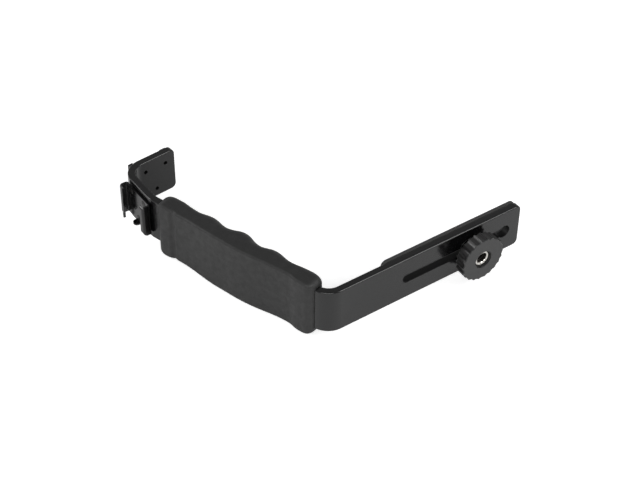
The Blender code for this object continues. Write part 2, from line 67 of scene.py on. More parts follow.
camera = bpy.data.objects.new("camera", bpy.data.cameras.new("camera"))
camera.data.lens = LENS
camera.data.clip_start = 0.01
aim = Euler((math.pi / 2 - CAMERA_ELEVATION, 0, -CAMERA_AZIMUTH)).to_matrix()
aim = aim @ Matrix.Rotation(CAMERA_ROLL, 3, "Z")
camera.matrix_world = Matrix.Translation(CAMERA_PLACE) @ aim.to_4x4()
bpy.context.collection.objects.link(camera)
bpy.context.scene.camera = camera
bpy.context.scene.view_settings.view_transform = "Standard"


# Studio: a white paper sweep under the bracket, with soft white light from all sides, a big
# softbox in front, and a strip light at either side that draws bright lines along the edges.
# What mirrors in the enamel's flat faces is the white floor and the dim ceiling. The paper also
# glows, more for the camera than in reflections, so that only the bracket's shadow greys it.
def colour(code):
    """Turn an sRGB hex colour such as "8c8c8c" to linear values with alpha."""
    channels = [int(code[start:start + 2], 16) / 255 for start in (0, 2, 4)]
    linear = [c / 12.92 if c <= 0.04045 else ((c + 0.055) / 1.055) ** 2.4 for c in channels]
    return (*linear, 1.0)


def add_node(tree, kind, links=(), **settings):
    """Add a shader node. Settings name its properties, and links are (socket, value or output)."""
    node = tree.nodes.new("ShaderNode" + kind)
    for name, value in settings.items():
        setattr(node, name, value)
    for socket, value in links:
        if isinstance(value, bpy.types.NodeSocket):
            tree.links.new(value, node.inputs[socket])
        else:
            node.inputs[socket].default_value = value
    return node


FLOOR_GAP = 0.0002
FLOOR_LEVEL = solid_low.z - FLOOR_GAP
FLOOR_HALF = 6.0
PAPER = colour("f4f4f4")
FLOOR_LIFT = 0.60
MIRRORED_LIFT = 0.16
HORIZON_LIGHT = 0.75
CEILING_LIGHT = 0.32
CEILING_START = 0.40
WHITE = (1.0, 1.0, 1.0, 1.0)
BRACKET_MIDDLE = (0, 0.05, 0)
TOP_BEND_MIDDLE = (-0.06, 0.12, 0)

floor_mesh = bmesh.new()
bmesh.ops.create_grid(floor_mesh, x_segments=1, y_segments=1, size=FLOOR_HALF)
bmesh.ops.translate(floor_mesh, verts=floor_mesh.verts[:], vec=(0, 0, FLOOR_LEVEL))
floor = bpy.data.objects.new("floor", bpy.data.meshes.new("floor"))
floor_mesh.to_mesh(floor.data)
floor_mesh.free()
bpy.context.collection.objects.link(floor)

white_paper = bpy.data.materials.new("matt_white_paper")
white_paper.use_nodes = True
tree = white_paper.node_tree
tree.nodes.clear()
path = add_node(tree, "LightPath")
mirrored = add_node(
    tree, "Math", [(0, path.outputs["Is Glossy Ray"]), (1, path.outputs["Is Transmission Ray"])],
    operation="MAXIMUM")
mirrored = add_node(tree, "Math", [(0, mirrored.outputs[0]), (1, MIRRORED_LIFT)], operation="MULTIPLY")
lift = add_node(
    tree, "Math", [(0, path.outputs["Is Camera Ray"]), (1, FLOOR_LIFT), (2, mirrored.outputs[0])],
    operation="MULTIPLY_ADD")
matt = add_node(tree, "BsdfDiffuse", [("Color", PAPER)])
glow = add_node(tree, "Emission", [("Color", WHITE), ("Strength", lift.outputs[0])])
both = add_node(tree, "AddShader", [(0, matt.outputs[0]), (1, glow.outputs[0])])
add_node(tree, "OutputMaterial", [("Surface", both.outputs[0])])
floor.data.materials.append(white_paper)

studio = bpy.data.worlds.new("studio")
studio.use_nodes = True
bpy.context.scene.world = studio
tree = studio.node_tree
tree.nodes.clear()
place = add_node(tree, "TexCoord")
height = add_node(tree, "SeparateXYZ", [("Vector", place.outputs["Generated"])])
fade = add_node(
    tree, "MapRange", [("Value", height.outputs["Z"]), ("From Min", 0.0), ("From Max", CEILING_START),
                       ("To Min", HORIZON_LIGHT), ("To Max", CEILING_LIGHT)])
path = add_node(tree, "LightPath")
level = add_node(
    tree, "Mix", [("Factor", path.outputs["Is Camera Ray"]), ("A", fade.outputs["Result"]), ("B", 1.0)])
air = add_node(tree, "Background", [("Color", WHITE), ("Strength", level.outputs["Result"])])
add_node(tree, "OutputWorld", [("Surface", air.outputs[0])])


def softbox(name, place, target, width, height, power):
    """Add a rectangular area light aimed at a point."""
    lamp = bpy.data.lights.new(name, "AREA")
    lamp.shape = "RECTANGLE"
    lamp.size = width
    lamp.size_y = height
    lamp.energy = power
    light = bpy.data.objects.new(name, lamp)
    light.location = place
    light.rotation_euler = (Vector(target) - Vector(place)).to_track_quat("-Z", "Y").to_euler()
    bpy.context.collection.objects.link(light)


softbox("front_softbox", (-0.65, -0.75, 0.75), BRACKET_MIDDLE, width=1.10, height=0.35, power=6.0)
softbox("right_strip_light", (0.46, -0.64, 0.66), BRACKET_MIDDLE, width=0.45, height=0.40, power=3.6)
softbox("left_strip_light", (-0.80, 0.70, 0.47), TOP_BEND_MIDDLE, width=0.30, height=0.50, power=2.6)

# Bent bar: one length of 25 by 4 mm flat steel with rolled edges, bent cold at three places,
# slotted, drilled for the shoes' rivets, and stove enamelled in gloss black.
BAR_WIDTH = 0.0250
BAR_THICKNESS = 0.0040
BAR_EDGE_ROUND = 0.0008
BAR_END_ROUND = 0.0030
BEND_INNER_RADIUS = 0.0070
ARM_LENGTH = 0.1160
HANDLE_LENGTH = 0.1115
SHOE_RUN_LENGTH = 0.0282
TOP_ARM_LENGTH = 0.0304
HANDLE_LEAN = math.radians(16.8)
TOP_ARM_LEAN = math.radians(4.5)
SLOT_START = 0.0438
SLOT_WIDTH = 0.0050
KEYHOLE_FROM_END = 0.0100
KEYHOLE_DIAMETER = 0.0070
CUT_EDGE_ROUND = 0.0004
BAR_TURN_STEPS = 160
BAR_END_STEPS = 10
BAR_EDGE_STEPS = 4
SLOT_END_STEPS = 20
OVERRUN = 0.0020
CREASE_ANGLE = math.radians(50)
ENAMEL_PEEL = 0.0014
ENAMEL_SMEAR = 0.0090
EDGE_TEAR = 0.0004
UP = Vector((0, 0, 1))


def arc(centre, radius, start, end, steps):
    """Return points on an arc from one angle to another, both ends included."""
    angles = [start + (end - start) * step / steps for step in range(steps + 1)]
    return [(centre[0] + radius * math.cos(a), centre[1] + radius * math.sin(a)) for a in angles]


def extruded(outline, start, end):
    """Return a bmesh of an outline of XY points, extruded along Z from start to end."""
    solid = bmesh.new()
    base = solid.faces.new([solid.verts.new((x, y, start)) for x, y in outline])
    grown = bmesh.ops.extrude_face_region(solid, geom=[base])
    lifted = [item for item in grown["geom"] if isinstance(item, bmesh.types.BMVert)]
    bmesh.ops.translate(solid, verts=lifted, vec=(0, 0, end - start))
    bmesh.ops.recalc_face_normals(solid, faces=solid.faces[:])
    return solid


def axes_at(place, across, along, outward):
    """Return the matrix that moves a piece drawn at the origin to a place with the given axes."""
    return Matrix.Translation(place) @ Matrix((across, along, outward)).transposed().to_4x4()


def make_piece(name, solid, material, where=Matrix.Identity(4)):
    """Turn a closed bmesh into a smooth-shaded piece, with its place in its mesh."""
    bmesh.ops.transform(solid, matrix=where, verts=solid.verts[:])
    bmesh.ops.recalc_face_normals(solid, faces=solid.faces[:])
    mesh = bpy.data.meshes.new(name)
    solid.to_mesh(mesh)
    solid.free()
    mesh.materials.append(material)
    mesh.shade_smooth()
    piece = bpy.data.objects.new(name, mesh)
    bpy.context.collection.objects.link(piece)
    return piece


def carve(piece, solid, where=Matrix.Identity(4), operation="DIFFERENCE", finish=None):
    """Cut a closed bmesh out of a piece, or join it on. The new faces may get their own finish."""
    tool = make_piece("carving_tool", solid, finish or piece.data.materials[0], where)
    modifier = piece.modifiers.new("carving", "BOOLEAN")
    modifier.operation = operation
    modifier.object = tool
    modifier.material_mode = "TRANSFER"
    worked = piece.evaluated_get(bpy.context.evaluated_depsgraph_get())
    mesh = bpy.data.meshes.new_from_object(worked)
    piece.modifiers.remove(modifier)
    piece.data = mesh
    bpy.data.objects.remove(tool)


def round_edges(solid, edges, radius, steps):
    """Round the given edges of a bmesh."""
    bmesh.ops.bevel(
        solid, geom=edges, affect="EDGES", offset=radius, segments=steps, profile=0.5, material=-1)


def ease_edges(piece, width, segments=2):
    """Break a piece's sharp edges by up to a small width, and keep its flat faces looking flat.

    The bevel stops where it would run over a very short edge that a cut has left. It comes to
    0.14 mm on the bar, and to next to nothing on the shoes, the knob and the screw.
    """
    broken = piece.modifiers.new("eased_edges", "BEVEL")
    broken.width = width
    broken.segments = segments
    broken.limit_method = "ANGLE"
    broken.angle_limit = CREASE_ANGLE
    piece.modifiers.new("even_shading", "WEIGHTED_NORMAL")


def dress(piece, body, slot, *nodes):
    """Make a piece ride on a body and hide the CAD nodes that it stands for. The slot is not used."""
    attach(piece, body)
    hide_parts(*nodes)


def start_finish(name, uniform=()):
    """Start a material from (socket, value) pairs. Return it, its tree and Object coordinates."""
    material = bpy.data.materials.new(name)
    material.use_nodes = True
    tree = material.node_tree
    for socket, value in uniform:
        tree.nodes["Principled BSDF"].inputs[socket].default_value = value
    return material, tree, add_node(tree, "TexCoord").outputs["Object"]


def noise(tree, coordinates, scale, detail, roughness=0.5):
    """Return cloudy noise from 0 to 1, with the given number of clouds to the metre."""
    clouds = add_node(tree, "TexNoise", [("Vector", coordinates), ("Scale", scale),
                                         ("Detail", detail), ("Roughness", roughness)])
    return clouds.outputs["Fac"]


def blend(tree, share, dark, bright):
    """Return a colour that goes from dark to bright with the share."""
    mixed = add_node(tree, "Mix", [("Factor", share), ("A", colour(dark)), ("B", colour(bright))],
                     data_type="RGBA")
    return mixed.outputs["Result"]


def spread(tree, share, low, high, start=0.0, end=1.0):
    """Return a value that goes from low to high while the share goes from start to end."""
    spreading = add_node(tree, "MapRange", [("Value", share), ("From Min", start), ("From Max", end),
                                            ("To Min", low), ("To Max", high)])
    return spreading.outputs["Result"]


def relief(tree, height, strength, depth, under=None):
    """Return a surface normal shaped by a height, on top of another relief where one is given."""
    links = [("Height", height), ("Strength", strength), ("Distance", depth)]
    if under is not None:
        links.append(("Normal", under))
    return add_node(tree, "Bump", links).outputs["Normal"]


def finish_with(tree, tint, roughness, normal):
    """Lead a colour, a roughness and a normal to the material's shader."""
    shader = tree.nodes["Principled BSDF"]
    tree.links.new(tint, shader.inputs["Base Color"])
    tree.links.new(roughness, shader.inputs["Roughness"])
    tree.links.new(normal, shader.inputs["Normal"])


def heading(turn):
    """Return the direction in the bar's plan that is turned from +Y towards -X."""
    return Vector((-math.sin(turn), math.cos(turn), 0))


HANDLE_HEADING = heading(HANDLE_LEAN)
SHOE_RUN_HEADING = heading(0)
TOP_ARM_HEADING = heading(TOP_ARM_LEAN - math.pi / 2)
bar_low, bar_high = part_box("bracket_bar")
CORNER = Vector((bar_high.x - ARM_LENGTH, bar_low.y, bar_low.z))
ARM_END = CORNER + Vector((ARM_LENGTH, 0, 0))
KINK = CORNER + HANDLE_HEADING * HANDLE_LENGTH
TOP_CORNER = KINK + SHOE_RUN_HEADING * SHOE_RUN_LENGTH
TOP_END = TOP_CORNER + TOP_ARM_HEADING * TOP_ARM_LENGTH


def bar_outline(steps_per_turn):
    """Return the bar's plan outline, along the outer face and back along the inner face."""
    runs = (Vector((-1, 0, 0)), HANDLE_HEADING, SHOE_RUN_HEADING, TOP_ARM_HEADING)
    outer, inner = [ARM_END.xy], [ARM_END.xy + Vector((0, BAR_THICKNESS))]
    outer_radius = BEND_INNER_RADIUS + BAR_THICKNESS
    for corner, run_in, run_out in zip((CORNER, KINK, TOP_CORNER), runs, runs[1:]):
        turn = run_in.angle(run_out)
        inward = Vector((run_in.y, -run_in.x, 0))
        centre = corner - run_in * outer_radius * math.tan(turn / 2) + inward * outer_radius
        start = math.atan2(-inward.y, -inward.x)
        steps = round(steps_per_turn * turn / math.tau)
        outer += arc(centre, outer_radius, start, start - turn, steps)
        inner += arc(centre, BEND_INNER_RADIUS, start, start - turn, steps)
    inward = Vector((TOP_ARM_HEADING.y, -TOP_ARM_HEADING.x, 0))
    outer.append(TOP_END.xy)
    inner.append((TOP_END + inward * BAR_THICKNESS).xy)
    return outer + inner[::-1]


def at_bar_end(edge):
    """Tell whether an edge is one of the four short edges at the two ends of the bar."""
    near = [min((vert.co.xy - end.xy).length for end in (ARM_END, TOP_END)) for vert in edge.verts]
    level = abs(edge.verts[0].co.z - edge.verts[1].co.z) < BAR_EDGE_ROUND
    return level and max(near) < BAR_THICKNESS + BAR_EDGE_ROUND


def keyhole_outline(slot_width, hole_diameter, steps):
    """Return the keyhole slot's outline: X along the arm from the corner, Y across it."""
    slot_radius, hole_radius = slot_width / 2, hole_diameter / 2
    meet = math.asin(slot_radius / hole_radius)
    hole_at = (ARM_LENGTH - KEYHOLE_FROM_END, BAR_WIDTH / 2)
    outline = arc(hole_at, hole_radius, meet - math.pi, math.pi - meet, 2 * steps)
    slot_end = (SLOT_START + SLOT_WIDTH / 2, BAR_WIDTH / 2)
    return outline + arc(slot_end, slot_radius, math.pi / 2, math.pi * 3 / 2, steps)


# Gloss black stove enamel, sprayed: a deep mirror with a faint orange peel and a few smears
enamel, tree, coordinates = start_finish("gloss_black_stove_enamel", [("Specular IOR Level", 0.56)])
smear = noise(tree, coordinates, 1 / ENAMEL_SMEAR, detail=5.0, roughness=0.6)
peel = noise(tree, coordinates, 1 / ENAMEL_PEEL, detail=1.0)
finish_with(
    tree, blend(tree, smear, "060606", "0f0f10"),
    spread(tree, smear, low=0.14, high=0.22, start=0.35, end=0.70),
    relief(tree, peel, strength=0.12, depth=0.00004))

# Enamel on a sheared edge, thin and dull over the torn steel. It is also made darker and less glossy than
# the face as painted shade, so that the walls of the slot and of the rivet holes stay dark
sheared_edge_enamel_with_painted_shade, tree, coordinates = start_finish(
    "sheared_edge_enamel_darkened_as_painted_shade", [("Specular IOR Level", 0.22)])
tears = noise(tree, coordinates, 1 / EDGE_TEAR, detail=4.0)
finish_with(
    tree, blend(tree, tears, "040404", "0a0a0a"), spread(tree, tears, low=0.40, high=0.60),
    relief(tree, tears, strength=0.4, depth=0.00005))

bar_solid = extruded(bar_outline(BAR_TURN_STEPS), CORNER.z, CORNER.z + BAR_WIDTH)
bar_corners = [edge for edge in bar_solid.edges if at_bar_end(edge)]
round_edges(bar_solid, bar_corners, BAR_END_ROUND, BAR_END_STEPS)
sharp = [edge for edge in bar_solid.edges if edge.calc_face_angle(0) > CREASE_ANGLE]
round_edges(bar_solid, sharp, BAR_EDGE_ROUND, BAR_EDGE_STEPS)
bent_bar = make_piece("bent_bar", bar_solid, enamel)
arm_axes = axes_at(CORNER, Vector((1, 0, 0)), UP, Vector((0, -1, 0)))
keyhole = keyhole_outline(SLOT_WIDTH, KEYHOLE_DIAMETER, SLOT_END_STEPS)
# The slot's walls take the darker enamel: painted shade inside the slot.
carve(bent_bar, extruded(keyhole, -BAR_THICKNESS - OVERRUN, OVERRUN), arm_axes, finish=sheared_edge_enamel_with_painted_shade)

# Camera pad: a strip of black rubber with a fine pebbled face, die cut and glued along the
# arm's inner face. Its own slot is a little wider than the arm's.
PAD_START = 0.0344
PAD_END_MARGIN = 0.0005
PAD_HEIGHT = 0.0020
PAD_CORNER_ROUND = 0.0030
PAD_EDGE_ROUND = 0.0004
PAD_CORNER_STEPS = 10
PAD_EDGE_STEPS = 3
PAD_PEBBLE = 0.0009
PAD_DUST_PER_METRE = 260.0
GLUE_LINE = 0.0001
THREAD_DIAMETER = 0.00635
PAD_SLOT_MARGIN = 0.0006


def rounded_rectangle(low_x, high_x, low_y, high_y, low_radius, high_radius, steps):
    """Return the outline of a rectangle, with one corner radius at low X and one at high X."""
    quarter = math.pi / 2
    corners = (
        (high_x - high_radius, low_y + high_radius, high_radius, -quarter),
        (high_x - high_radius, high_y - high_radius, high_radius, 0),
        (low_x + low_radius, high_y - low_radius, low_radius, quarter),
        (low_x + low_radius, low_y + low_radius, low_radius, math.pi),
    )
    outline = []
    for x, y, radius, start in corners:
        outline += arc((x, y), radius, start, start + quarter, steps)
    return outline


# Matt black rubber sheet, calendered: soft pebbles under a millimetre across, no shine
rubber, tree, coordinates = start_finish("matt_black_rubber_sheet")
pebble = add_node(tree, "TexVoronoi", [("Vector", coordinates), ("Scale", 1 / PAD_PEBBLE)])
dust = noise(tree, coordinates, PAD_DUST_PER_METRE, detail=6.0)
finish_with(
    tree, blend(tree, dust, "2b2b2b", "3e3e3e"), spread(tree, dust, low=0.62, high=0.82),
    relief(tree, pebble.outputs["Distance"], strength=0.5, depth=0.00015))

PAD_FACE = BAR_THICKNESS + PAD_HEIGHT
pad_outline = rounded_rectangle(
    PAD_START, ARM_LENGTH - PAD_END_MARGIN, 0, BAR_WIDTH, PAD_CORNER_ROUND, PAD_CORNER_ROUND,
    PAD_CORNER_STEPS)
rubber_pad = make_piece(
    "rubber_pad", extruded(pad_outline, -PAD_FACE, -BAR_THICKNESS - GLUE_LINE), rubber, arm_axes)
pad_keyhole = keyhole_outline(
    THREAD_DIAMETER + 2 * PAD_SLOT_MARGIN, KEYHOLE_DIAMETER + 2 * PAD_SLOT_MARGIN, SLOT_END_STEPS)
carve(rubber_pad, extruded(pad_keyhole, -PAD_FACE - OVERRUN, OVERRUN), arm_axes)
ease_edges(rubber_pad, PAD_EDGE_ROUND, PAD_EDGE_STEPS)
dress(rubber_pad, "bracket", "pad_rubber", "camera_pad")

# Hand grip: a soft black rubber sleeve moulded on the handle, crisp along the palm side and
# round along the four finger grooves, with a bead at each end and a fine leather grain.
GRIP_START = 0.0076
GRIP_END_MARGIN = 0.0071
GRIP_LENGTH = HANDLE_LENGTH - GRIP_START - GRIP_END_MARGIN
GRIP_OVERHANG = 0.0048
GRIP_PALM_PINCH = 0.0018
GRIP_PALM_ROUND = 0.0014
GRIP_FINGER_ROUND = 0.0050
GRIP_RIM_ROUND = 0.0030
GRIP_END_TAPER = 0.0060
GRIP_END_DROP = 0.0040
GRIP_PALM_SWELL = 0.0055
GRIP_FINGER_SWELL = 0.0050
GRIP_STATIONS = 170
GRIP_RIM_STEPS = 8
GRIP_CORNER_STEPS = 8
GRIP_GRAIN = 0.0011
GRIP_MOTTLE = 0.0030
BORE_GAP = 0.0003
PALM_SHARES = (
    (0.00, 0.44), (0.045, 0.58), (0.08, 0.59), (0.147, 0.41), (0.47, 0.86), (0.57, 0.83),
    (0.84, 0.57), (0.865, 0.56), (0.887, 0.47), (0.915, 0.62), (0.955, 0.64), (1.00, 0.56))
FINGER_SHARES = (
    (0.00, 0.68), (0.07, 0.73), (0.19, 0.41), (0.298, 0.86), (0.38, 0.41), (0.497, 1.00),
    (0.60, 0.41), (0.697, 0.78), (0.785, 0.41), (0.92, 0.65), (1.00, 0.60))
PINCH_SHARES = (
    (0.00, 0.20), (0.05, 0.55), (0.18, 0.70), (0.35, 0.38), (0.60, 0.40), (0.85, 1.00),
    (0.96, 0.50), (1.00, 0.60))
CORNER_ROOM_SHARE = 0.42


def eased(shares, place):
    """Read a table of (place, height) shares, with a soft wave from each point to the next."""
    for (low, low_height), (high, high_height) in zip(shares, shares[1:]):
        if place <= high:
            ease = (1 - math.cos(math.pi * (place - low) / (high - low))) / 2
            return low_height + (high_height - low_height) * ease
    return shares[-1][1]


def grip_section(along, inset):
    """Return the grip's cross section as points, drawn in from its full size by the inset."""
    place = along / GRIP_LENGTH
    low = -GRIP_PALM_SWELL * eased(PALM_SHARES, place) + inset
    high = BAR_THICKNESS + GRIP_FINGER_SWELL * eased(FINGER_SHARES, place) - inset
    to_end = min(along, GRIP_LENGTH - along, GRIP_END_TAPER)
    drop = GRIP_END_DROP * (1 - math.sqrt(1 - (1 - to_end / GRIP_END_TAPER) ** 2))
    middle = BAR_WIDTH / 2
    half = middle + GRIP_OVERHANG - drop
    room = (high - low) * CORNER_ROOM_SHARE
    outline = rounded_rectangle(
        low, high, -half, half, min(GRIP_PALM_ROUND, room), min(GRIP_FINGER_ROUND, room),
        GRIP_CORNER_STEPS)
    pinch = GRIP_PALM_PINCH * eased(PINCH_SHARES, place) / half
    section = []
    for x, z in outline:
        narrowed = 1 - pinch * (high - x) / (high - low)
        section.append((x, GRIP_START + along, middle + z * narrowed))
    return section


def bore_section(along):
    """Return the section of the hole that the bar runs through."""
    outline = rounded_rectangle(
        -BORE_GAP, BAR_THICKNESS + BORE_GAP, -BORE_GAP, BAR_WIDTH + BORE_GAP, BAR_EDGE_ROUND,
        BAR_EDGE_ROUND, GRIP_CORNER_STEPS)
    return [(x, GRIP_START + along, z) for x, z in outline]


def grip_stations():
    """Return (place, inset) pairs: a rounded rim at each end and even steps between."""
    quarter = [math.pi / 2 * step / GRIP_RIM_STEPS for step in range(GRIP_RIM_STEPS + 1)]
    rim = [(GRIP_RIM_ROUND * (1 - math.cos(a)), GRIP_RIM_ROUND * (1 - math.sin(a))) for a in quarter]
    body = GRIP_LENGTH - 2 * GRIP_RIM_ROUND
    steps = [GRIP_RIM_ROUND + body * step / GRIP_STATIONS for step in range(1, GRIP_STATIONS)]
    return rim + [(step, 0) for step in steps] + [(GRIP_LENGTH - a, b) for a, b in reversed(rim)]


def skinned(rings, closed=False):
    """Return a bmesh drawn over rings of points, with flat ends or joined round to the start."""
    solid = bmesh.new()
    loops = []
    for points in rings:
        ring = [solid.verts.new(point) for point in points]
        loops.append([solid.edges.new(pair) for pair in zip(ring, ring[1:] + ring[:1])])
    for loop, next_loop in zip(loops, loops[1:] + (loops[:1] if closed else [])):
        bmesh.ops.bridge_loops(solid, edges=loop + next_loop)
    if not closed:
        bmesh.ops.holes_fill(solid, edges=loops[0] + loops[-1], sides=0)
    return solid


# Moulded black rubber, soft to the hand: a low sheen broken by a leather grain. The grain is
# drawn at about 1 mm, coarser than the real one, so that it shows at all.
grip_rubber, tree, coordinates = start_finish(
    "leather_grained_moulded_rubber", [("Specular IOR Level", 0.44)])
mottle = noise(tree, coordinates, 1 / GRIP_MOTTLE, detail=4.0)
crackle = add_node(tree, "TexVoronoi", [("Vector", coordinates), ("Scale", 1 / GRIP_GRAIN)],
                   feature="DISTANCE_TO_EDGE")
patches = spread(tree, mottle, low=0.0, high=1.0, start=0.3, end=0.7)
creases = relief(tree, crackle.outputs["Distance"], strength=0.45, depth=0.00012)
finish_with(
    tree, blend(tree, patches, "222222", "292929"), spread(tree, patches, low=0.57, high=0.48),
    relief(tree, mottle, strength=0.25, depth=0.0004, under=creases))

HANDLE_INWARD = Vector((HANDLE_HEADING.y, -HANDLE_HEADING.x, 0))
handle_axes = axes_at(CORNER, HANDLE_INWARD, HANDLE_HEADING, UP)
grip_rings = [grip_section(along, inset) for along, inset in grip_stations()]
grip_rings += [bore_section(GRIP_LENGTH), bore_section(0)]
moulded_grip = make_piece("moulded_grip", skinned(grip_rings, closed=True), grip_rubber, handle_axes)
moulded_grip.modifiers.new("even_shading", "WEIGHTED_NORMAL")
dress(moulded_grip, "bracket", "grip_rubber", "hand_grip")

# Accessory shoes: each is a channel folded from 0.9 mm sheet steel with a stop tongue and a
# small hook at its lower end, enamelled black and held to the bar by three flush rivets.
SHEET_THICKNESS = 0.0009
SHEET_BEND_RADIUS = 0.0004
SIDE_SHOE_MARGIN = 0.0031
SIDE_SHOE_STOP_MARGIN = 0.0034
TOP_SHOE_MARGIN = 0.0039
SHOE_FROM_CORNER = 0.0184
CHANNEL_WIDTH = 0.0210
CHANNEL_DEPTH = 0.0030
LIP_OPENING = 0.0168
RAIL_FOOT_ROUND = 0.0025
RAIL_ENTRY_ROUND = 0.0018
STOP_WIDTH = 0.0040
STOP_HEIGHT = 0.0045
HOOK_HEIGHT = 0.0032
HOOK_WIDTH = 0.0011
HOOK_LENGTH = 0.0034
SHEET_EDGE_ROUND = 0.00012
SEAT_GAP = 0.0003
RIVET_DIAMETER = 0.0020
RIVET_HEAD_DIAMETER = 0.0036
RIVET_RECESS = 0.0016
RIVET_SPACING = 0.0121
RIVET_PAIR_MARGIN = 0.0025
RIVET_SINGLE_MARGIN = 0.0024
RIVET_SEAM = 0.00006
PUNCH_MARKS_PER_METRE = 2600.0
FOLD_STEPS = 6
RAIL_CORNER_STEPS = 10
TONGUE_STEPS = 20
RIVET_STEPS = 32
WELD_DISTANCE = 0.000003

SHOE_LENGTH = BAR_WIDTH - SIDE_SHOE_MARGIN - SIDE_SHOE_STOP_MARGIN
SHOE_HALF = SHOE_LENGTH / 2
SHOE_BASE_TOP = SEAT_GAP + SHEET_THICKNESS
SHOE_TOP = SHOE_BASE_TOP + CHANNEL_DEPTH + SHEET_THICKNESS
RAIL_INSIDE = CHANNEL_WIDTH / 2
RAIL_OUTSIDE = RAIL_INSIDE + SHEET_THICKNESS
STAND_UP = axes_at(Vector(), Vector((1, 0, 0)), UP, Vector((0, -1, 0)))
SIDEWAYS = axes_at(Vector(), UP, Vector((0, 1, 0)), Vector((-1, 0, 0)))


def turned(profile, steps):
    """Return a closed bmesh turned about Z from (radius, height) points, both ends on the axis."""
    solid = bmesh.new()
    points = [solid.verts.new((radius, 0, height)) for radius, height in profile]
    edges = [solid.edges.new(pair) for pair in zip(points, points[1:])]
    bmesh.ops.spin(
        solid, geom=points + edges, cent=(0, 0, 0), axis=(0, 0, 1),
        angle=math.tau, steps=steps, use_merge=True)
    bmesh.ops.remove_doubles(solid, verts=solid.verts[:], dist=WELD_DISTANCE)
    bmesh.ops.recalc_face_normals(solid, faces=solid.faces[:])
    return solid


def shoe_profile():
    """Return the folded sheet's cross section: base, two upright rails and their narrow lips."""
    quarter = math.pi / 2
    outer_radius = SHEET_BEND_RADIUS + SHEET_THICKNESS
    fold = RAIL_INSIDE - SHEET_BEND_RADIUS
    low_fold = (fold, SHOE_BASE_TOP + SHEET_BEND_RADIUS)
    high_fold = (fold, SHOE_TOP - outer_radius)
    lip = LIP_OPENING / 2
    half = arc(low_fold, outer_radius, -quarter, 0, FOLD_STEPS)
    half += arc(high_fold, outer_radius, 0, quarter, FOLD_STEPS)
    half += [(lip, SHOE_TOP), (lip, SHOE_TOP - SHEET_THICKNESS)]
    half += arc(high_fold, SHEET_BEND_RADIUS, quarter, 0, FOLD_STEPS)
    half += arc(low_fold, SHEET_BEND_RADIUS, 0, -quarter, FOLD_STEPS)
    return half + [(-x, y) for x, y in reversed(half)]


def rail_corner(side, radius):
    """Return a bmesh, right across the shoe, of what a rounded corner takes off the rails' ends."""
    low, end = SHOE_TOP - radius, SHOE_HALF - radius
    past_top, past_end = SHOE_TOP + OVERRUN, SHOE_HALF + OVERRUN
    corner = arc((low, end), radius, 0, math.pi / 2, RAIL_CORNER_STEPS)
    corner += [(low, past_end), (past_top, past_end), (past_top, end)]
    outline = [(height, side * along) for height, along in corner]
    return extruded(outline, -RAIL_OUTSIDE - OVERRUN, RAIL_OUTSIDE + OVERRUN)


def make_shoe(name, node, place, along_bar, outward):
    """Make one shoe with its rivets, and drill the bar for them."""
    where = axes_at(place, along_bar, UP, outward)
    shoe = make_piece(name, extruded(shoe_profile(), -SHOE_HALF, SHOE_HALF), enamel, where @ STAND_UP)
    carve(shoe, rail_corner(-1, RAIL_FOOT_ROUND), where @ SIDEWAYS)
    carve(shoe, rail_corner(1, RAIL_ENTRY_ROUND), where @ SIDEWAYS)

    stop_low = SHOE_BASE_TOP - SHEET_THICKNESS / 2
    tongue = [(-STOP_WIDTH / 2, stop_low), (STOP_WIDTH / 2, stop_low)]
    tongue += arc((0, STOP_HEIGHT - STOP_WIDTH / 2), STOP_WIDTH / 2, 0, math.pi, TONGUE_STEPS)
    carve(shoe, extruded(tongue, SHOE_HALF - SHEET_THICKNESS, SHOE_HALF), where @ STAND_UP, "UNION")
    hook_top = HOOK_HEIGHT + HOOK_WIDTH
    hook = [(-RAIL_OUTSIDE, HOOK_HEIGHT), (-RAIL_INSIDE, HOOK_HEIGHT),
            (-RAIL_INSIDE, hook_top), (-RAIL_OUTSIDE, hook_top)]
    hook_solid = extruded(hook, SHOE_HALF - RAIL_FOOT_ROUND, SHOE_HALF + HOOK_LENGTH)
    carve(shoe, hook_solid, where @ STAND_UP, "UNION")

    shank, head = RIVET_DIAMETER / 2, RIVET_HEAD_DIAMETER / 2
    head_base = SHOE_BASE_TOP - (head - shank)
    foot = RIVET_RECESS - BAR_THICKNESS
    rivet_profile = (
        (0, foot), (shank, foot), (shank, head_base), (head, SHOE_BASE_TOP), (0, SHOE_BASE_TOP))
    drill = shank + RIVET_SEAM
    sink = head + RIVET_SEAM
    hole_profile = (
        (0, -BAR_THICKNESS - OVERRUN), (drill, -BAR_THICKNESS - OVERRUN), (drill, head_base),
        (sink, SHOE_BASE_TOP), (sink, SHOE_BASE_TOP + SEAT_GAP), (0, SHOE_BASE_TOP + SEAT_GAP))
    pair = SHOE_HALF - RIVET_PAIR_MARGIN
    places = ((-RIVET_SPACING / 2, pair), (RIVET_SPACING / 2, pair), (0, RIVET_SINGLE_MARGIN - SHOE_HALF))
    for number, (x, y) in enumerate(places, start=1):
        spot = where @ Matrix.Translation((x, y, 0))
        carve(shoe, turned(hole_profile, RIVET_STEPS), spot)
        # The bar's rivet holes take the darker enamel too: painted shade inside the holes.
        carve(bent_bar, turned(hole_profile, RIVET_STEPS), spot, finish=sheared_edge_enamel_with_painted_shade)
        rivet = make_piece(
            f"{name}_rivet_{number}", turned(rivet_profile, RIVET_STEPS), blacked_steel, spot)
        ease_edges(rivet, SHEET_EDGE_ROUND)
        dress(rivet, "bracket", "rivet_steel", f"{node}_rivet_{number}")
    ease_edges(shoe, SHEET_EDGE_ROUND)
    dress(shoe, "bracket", "shoe_enamel", node)


# Steel rivet, blackened: dark, half dull metal with the marks of the setting punch
blacked_steel, tree, coordinates = start_finish("blackened_rivet_steel", [("Metallic", 0.6)])
punch = noise(tree, coordinates, PUNCH_MARKS_PER_METRE, detail=3.0)
finish_with(
    tree, blend(tree, punch, "141414", "2e2d2b"), spread(tree, punch, low=0.28, high=0.5),
    relief(tree, punch, strength=0.4, depth=0.00005))

